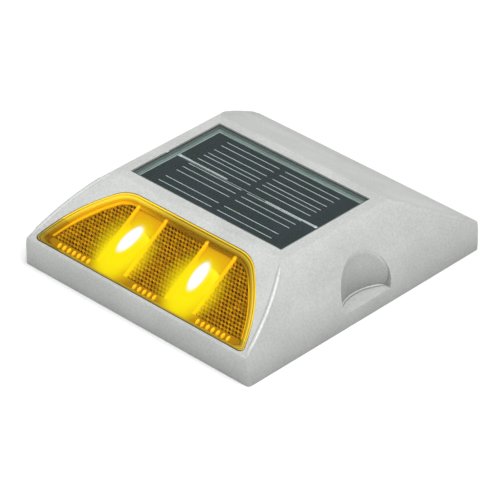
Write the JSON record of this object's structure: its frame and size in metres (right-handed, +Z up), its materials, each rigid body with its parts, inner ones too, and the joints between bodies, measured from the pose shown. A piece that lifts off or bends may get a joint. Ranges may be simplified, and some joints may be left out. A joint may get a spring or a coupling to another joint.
{
  "type": "raised pavement marker",
  "caption": "Low square solar road stud: cast aluminium body with sloped faces, one amber reflector lens with lit LEDs, a solar panel in its top and finger notches in its sides.",
  "frame": {"origin": "centre of the underside, on the road surface", "axes": "+Z up from the road; -Y is the way the amber lens faces, towards the traffic; +X is to the right as that traffic's driver would see it"},
  "size_m": [0.1, 0.1076, 0.0277],
  "materials": {
    "cast_aluminium": "fine-blasted satin casting",
    "clear_window": "clear polished acrylic",
    "amber_lens": "clear amber polycarbonate",
    "amber_insert": "amber polycarbonate with a prism pattern",
    "black_rubber": "matt",
    "grey_spacer": "plain",
    "panel_board": "pale laminate",
    "silicon": "dark glossy cell",
    "tinned_ribbon": "tinned copper",
    "led_epoxy": "clear epoxy, lit",
    "green_board": "solder mask",
    "black_plastic": "moulded",
    "ferrite": "bare ferrite",
    "battery_can": "nickel-plated can",
    "capacitor_can": "bright can",
    "ceramic": "plain",
    "white_plastic": "moulded nylon",
    "battery_wrap": "shrink sleeve",
    "cradle_plastic": "moulded",
    "foam": "closed-cell foam",
    "red_wire": "PVC insulation",
    "black_wire": "PVC insulation",
    "steel": "zinc plated"
  },
  "bodies": {
    "marker": {"base_gasket": "black_rubber", "base_plate": "black_plastic", "base_screw_1": "steel", "base_screw_2": "steel", "base_screw_3": "steel", "base_screw_4": "steel", "battery_cell": "battery_can", "battery_connector": "white_plastic", "battery_cradle": "cradle_plastic", "battery_insulator": "white_plastic", "battery_positive_cap": "steel", "battery_tab_negative": "tinned_ribbon", "battery_tab_positive": "tinned_ribbon", "battery_wire_negative": "black_wire", "battery_wire_positive": "red_wire", "battery_wrap": "battery_wrap", "boost_inductor": "ferrite", "cell_ribbon_left": "tinned_ribbon", "cell_ribbon_right": "tinned_ribbon", "charge_diode": "black_plastic", "circuit_board": "green_board", "controller_chip": "black_plastic", "foam_pad": "foam", "housing": "cast_aluminium", "led_cup_left": "amber_insert", "led_cup_right": "amber_insert", "led_driver_transistor": "black_plastic", "led_left": "led_epoxy", "led_left_anode": "tinned_ribbon", "led_left_cathode": "tinned_ribbon", "led_right": "led_epoxy", "led_right_anode": "tinned_ribbon", "led_right_cathode": "tinned_ribbon", "lens_cover": "amber_lens", "lens_seal": "black_rubber", "panel_board": "panel_board", "panel_spacer": "grey_spacer", "panel_window": "clear_window", "panel_wire_negative": "black_wire", "panel_wire_positive": "red_wire", "pcb_screw_1": "steel", "pcb_screw_2": "steel", "pcb_screw_3": "steel", "pcb_screw_4": "steel", "reflector_insert": "amber_insert", "resistor_left": "ceramic", "resistor_right": "ceramic", "smoothing_capacitor": "capacitor_can", "solar_cell_front": "silicon", "solar_cell_rear": "silicon", "switch_body": "black_plastic", "window_seal": "black_rubber"},
    "switch_slider": {"switch_knob": "white_plastic"}
  },
  "joints": [
    {"name": "switch_slide", "type": "slide", "parent": "marker", "child": "switch_slider", "axis": [1, 0, 0], "range_m": [0, 0.002]}
  ]
}
